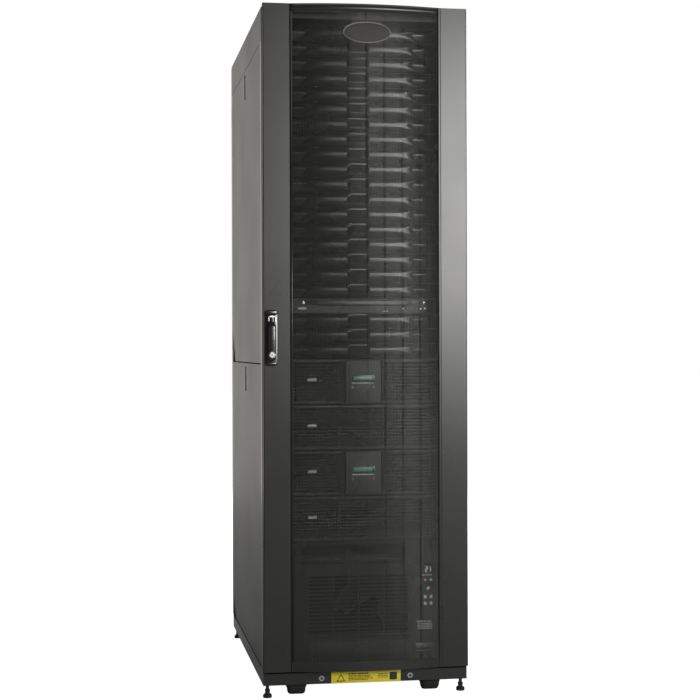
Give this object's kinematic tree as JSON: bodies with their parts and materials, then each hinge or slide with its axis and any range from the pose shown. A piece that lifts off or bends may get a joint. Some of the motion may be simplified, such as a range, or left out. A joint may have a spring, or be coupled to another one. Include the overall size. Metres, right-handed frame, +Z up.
{
  "type": "rackmount ups cabinet",
  "caption": "Tall equipment rack cabinet with a bowed perforated door, holding rackmount power modules, battery packs, a console and a cooler.",
  "frame": {"origin": "on the floor, under the middle of the cabinet's footprint", "axes": "+X to the right seen from the front, +Y from the front door to the rear doors, +Z up"},
  "size_m": [0.6, 1.0918, 1.994],
  "materials": {
    "black_paint": "fine textured powder coat, satin",
    "grey_paint": "fine textured powder coat, satin",
    "black_plastic": "fine moulded texture",
    "gloss_plastic": "smooth satin gloss",
    "bright_steel": "zinc plated",
    "tread_rubber": "matt",
    "badge_metal": "satin metallic"
  },
  "bodies": {
    "cabinet": {"base_frame": "black_paint", "post_front_left": "black_paint", "post_front_right": "black_paint", "post_rear_left": "black_paint", "post_rear_right": "black_paint", "roof_panel": "grey_paint", "mount_rail_front_left": "black_paint", "mount_rail_front_right": "black_paint", "mount_rail_rear_left": "black_paint", "mount_rail_rear_right": "black_paint", "ups_a_chassis": "black_paint", "ups_a_bezel": "black_plastic", "ups_a_display": "black_plastic", "battery_a_chassis": "black_paint", "battery_a_bezel": "black_plastic", "ups_b_chassis": "black_paint", "ups_b_bezel": "black_plastic", "ups_b_display": "black_plastic", "battery_b_chassis": "black_paint", "battery_b_bezel": "black_plastic", "console_housing": "black_paint", "cooler_housing": "black_paint", "blanking_panels_upper": "gloss_plastic", "blanking_panels_lower": "gloss_plastic"},
    "front_door": {"front_door_frame": "black_paint", "front_door_mesh": "black_paint", "front_door_badge": "badge_metal", "handle_housing": "gloss_plastic"},
    "side_panel_lower_left": {"side_panel_lower_left": "grey_paint"},
    "side_latch_lower_left": {"side_latch_lower_left": "black_plastic"},
    "side_panel_lower_right": {"side_panel_lower_right": "grey_paint"},
    "side_latch_lower_right": {"side_latch_lower_right": "black_plastic"},
    "side_panel_upper_left": {"side_panel_upper_left": "grey_paint"},
    "side_latch_upper_left": {"side_latch_upper_left": "black_plastic"},
    "side_panel_upper_right": {"side_panel_upper_right": "grey_paint"},
    "side_latch_upper_right": {"side_latch_upper_right": "black_plastic"},
    "leveling_foot_front_left": {"leveling_foot_front_left": "tread_rubber"},
    "caster_wheel_front_left": {"caster_wheel_front_left": "tread_rubber"},
    "leveling_foot_front_right": {"leveling_foot_front_right": "tread_rubber"},
    "caster_wheel_front_right": {"caster_wheel_front_right": "tread_rubber"},
    "leveling_foot_rear_left": {"leveling_foot_rear_left": "tread_rubber"},
    "caster_wheel_rear_left": {"caster_wheel_rear_left": "tread_rubber"},
    "leveling_foot_rear_right": {"leveling_foot_rear_right": "tread_rubber"},
    "caster_wheel_rear_right": {"caster_wheel_rear_right": "tread_rubber"},
    "caster_fork_front_left": {"caster_fork_front_left": "black_paint"},
    "caster_fork_front_right": {"caster_fork_front_right": "black_paint"},
    "handle_spindle": {"handle_spindle": "bright_steel"},
    "handle_lever": {"handle_lever": "gloss_plastic"},
    "handle_keylock": {"handle_keylock": "bright_steel"},
    "latch_rod_upper": {"latch_rod_upper": "bright_steel"},
    "latch_rod_lower": {"latch_rod_lower": "bright_steel"},
    "rear_door_left": {"rear_door_left": "black_paint"},
    "rear_door_right": {"rear_door_right": "black_paint"},
    "rear_handle": {"rear_handle": "gloss_plastic"},
    "ups_a_button_left": {"ups_a_button_left": "bright_steel"},
    "ups_a_button_right": {"ups_a_button_right": "bright_steel"},
    "ups_b_button_left": {"ups_b_button_left": "bright_steel"},
    "ups_b_button_right": {"ups_b_button_right": "bright_steel"},
    "console_drawer": {"console_drawer": "black_plastic"},
    "cooler_grille": {"cooler_grille": "black_plastic"}
  },
  "joints": [
    {"name": "front_door_swing", "type": "hinge", "parent": "cabinet", "child": "front_door", "pos_m": [0.296, -0.497, 1.035], "axis": [0, 0, 1], "range_deg": [0, 120]},
    {"name": "handle_turn", "type": "hinge", "parent": "front_door", "child": "handle_spindle", "pos_m": [-0.275, -0.518, 1.089], "axis": [0, 1, 0], "range_deg": [0, 90]},
    {"name": "handle_lift", "type": "hinge", "parent": "handle_spindle", "child": "handle_lever", "pos_m": [-0.275, -0.535, 1.089], "axis": [-1, 0, 0], "range_deg": [0, 65]},
    {"name": "keylock_turn", "type": "hinge", "parent": "handle_lever", "child": "handle_keylock", "pos_m": [-0.275, -0.546, 0.988], "axis": [0, 1, 0], "range_deg": [0, 90]},
    {"name": "latch_rod_upper_slide", "type": "slide", "parent": "front_door", "child": "latch_rod_upper", "axis": [0, 0, 1], "range_m": [-0.02, 0]},
    {"name": "latch_rod_lower_slide", "type": "slide", "parent": "front_door", "child": "latch_rod_lower", "axis": [0, 0, 1], "range_m": [0, 0.02]},
    {"name": "rear_door_left_swing", "type": "hinge", "parent": "cabinet", "child": "rear_door_left", "pos_m": [-0.296, 0.497, 1.035], "axis": [0, 0, 1], "range_deg": [0, 120]},
    {"name": "rear_door_right_swing", "type": "hinge", "parent": "cabinet", "child": "rear_door_right", "pos_m": [0.296, 0.497, 1.035], "axis": [0, 0, -1], "range_deg": [0, 120]},
    {"name": "rear_handle_turn", "type": "hinge", "parent": "rear_door_right", "child": "rear_handle", "pos_m": [0.024, 0.52, 1.065], "axis": [0, -1, 0], "range_deg": [0, 90]},
    {"name": "side_panel_lower_left_tilt", "type": "hinge", "parent": "cabinet", "child": "side_panel_lower_left", "pos_m": [-0.289, 0, 0.0785], "axis": [0, -1, 0], "range_deg": [0, 15]},
    {"name": "side_latch_lower_left_slide", "type": "slide", "parent": "side_panel_lower_left", "child": "side_latch_lower_left", "axis": [0, 0, -1], "range_m": [0, 0.008], "stiffness_N_per_m": 120, "springref_m": -0.002},
    {"name": "side_panel_upper_left_tilt", "type": "hinge", "parent": "cabinet", "child": "side_panel_upper_left", "pos_m": [-0.289, 0, 0.9635], "axis": [0, -1, 0], "range_deg": [0, 15]},
    {"name": "side_latch_upper_left_slide", "type": "slide", "parent": "side_panel_upper_left", "child": "side_latch_upper_left", "axis": [0, 0, -1], "range_m": [0, 0.008], "stiffness_N_per_m": 120, "springref_m": -0.002},
    {"name": "side_panel_lower_right_tilt", "type": "hinge", "parent": "cabinet", "child": "side_panel_lower_right", "pos_m": [0.289, 0, 0.0785], "axis": [0, 1, 0], "range_deg": [0, 15]},
    {"name": "side_latch_lower_right_slide", "type": "slide", "parent": "side_panel_lower_right", "child": "side_latch_lower_right", "axis": [0, 0, -1], "range_m": [0, 0.008], "stiffness_N_per_m": 120, "springref_m": -0.002},
    {"name": "side_panel_upper_right_tilt", "type": "hinge", "parent": "cabinet", "child": "side_panel_upper_right", "pos_m": [0.289, 0, 0.9635], "axis": [0, 1, 0], "range_deg": [0, 15]},
    {"name": "side_latch_upper_right_slide", "type": "slide", "parent": "side_panel_upper_right", "child": "side_latch_upper_right", "axis": [0, 0, -1], "range_m": [0, 0.008], "stiffness_N_per_m": 120, "springref_m": -0.002},
    {"name": "leveling_foot_front_left_screw", "type": "hinge", "parent": "cabinet", "child": "leveling_foot_front_left", "pos_m": [-0.285, -0.473, 0.03], "axis": [0, 0, 1], "continuous": true},
    {"name": "leveling_foot_front_right_screw", "type": "hinge", "parent": "cabinet", "child": "leveling_foot_front_right", "pos_m": [0.285, -0.473, 0.03], "axis": [0, 0, 1], "continuous": true},
    {"name": "leveling_foot_rear_left_screw", "type": "hinge", "parent": "cabinet", "child": "leveling_foot_rear_left", "pos_m": [-0.285, 0.473, 0.03], "axis": [0, 0, 1], "continuous": true},
    {"name": "leveling_foot_rear_right_screw", "type": "hinge", "parent": "cabinet", "child": "leveling_foot_rear_right", "pos_m": [0.285, 0.473, 0.03], "axis": [0, 0, 1], "continuous": true},
    {"name": "caster_left_swivel", "type": "hinge", "parent": "cabinet", "child": "caster_fork_front_left", "pos_m": [-0.198, -0.417, 0.06], "axis": [0, 0, 1], "continuous": true},
    {"name": "caster_wheel_front_left_spin", "type": "hinge", "parent": "caster_fork_front_left", "child": "caster_wheel_front_left", "pos_m": [-0.198, -0.444, 0.03], "axis": [1, 0, 0], "continuous": true},
    {"name": "caster_wheel_rear_left_spin", "type": "hinge", "parent": "cabinet", "child": "caster_wheel_rear_left", "pos_m": [-0.198, 0.417, 0.03], "axis": [1, 0, 0], "continuous": true},
    {"name": "caster_right_swivel", "type": "hinge", "parent": "cabinet", "child": "caster_fork_front_right", "pos_m": [0.198, -0.417, 0.06], "axis": [0, 0, 1], "continuous": true},
    {"name": "caster_wheel_front_right_spin", "type": "hinge", "parent": "caster_fork_front_right", "child": "caster_wheel_front_right", "pos_m": [0.198, -0.444, 0.03], "axis": [1, 0, 0], "continuous": true},
    {"name": "caster_wheel_rear_right_spin", "type": "hinge", "parent": "cabinet", "child": "caster_wheel_rear_right", "pos_m": [0.198, 0.417, 0.03], "axis": [1, 0, 0], "continuous": true},
    {"name": "ups_a_button_left_press", "type": "slide", "parent": "cabinet", "child": "ups_a_button_left", "axis": [0, 1, 0], "range_m": [0, 0.0012], "stiffness_N_per_m": 150},
    {"name": "ups_a_button_right_press", "type": "slide", "parent": "cabinet", "child": "ups_a_button_right", "axis": [0, 1, 0], "range_m": [0, 0.0012], "stiffness_N_per_m": 150},
    {"name": "ups_b_button_left_press", "type": "slide", "parent": "cabinet", "child": "ups_b_button_left", "axis": [0, 1, 0], "range_m": [0, 0.0012], "stiffness_N_per_m": 150},
    {"name": "ups_b_button_right_press", "type": "slide", "parent": "cabinet", "child": "ups_b_button_right", "axis": [0, 1, 0], "range_m": [0, 0.0012], "stiffness_N_per_m": 150},
    {"name": "console_drawer_slide", "type": "slide", "parent": "cabinet", "child": "console_drawer", "axis": [0, -1, 0], "range_m": [0, 0.06]},
    {"name": "cooler_grille_pull", "type": "slide", "parent": "cabinet", "child": "cooler_grille", "axis": [0, -1, 0], "range_m": [0, 0.03]}
  ],
  "couplings": [
    {"joint": "latch_rod_upper_slide", "follows": "handle_turn", "m_per_rad": -0.01261},
    {"joint": "latch_rod_lower_slide", "follows": "handle_turn", "m_per_rad": 0.01261}
  ]
}
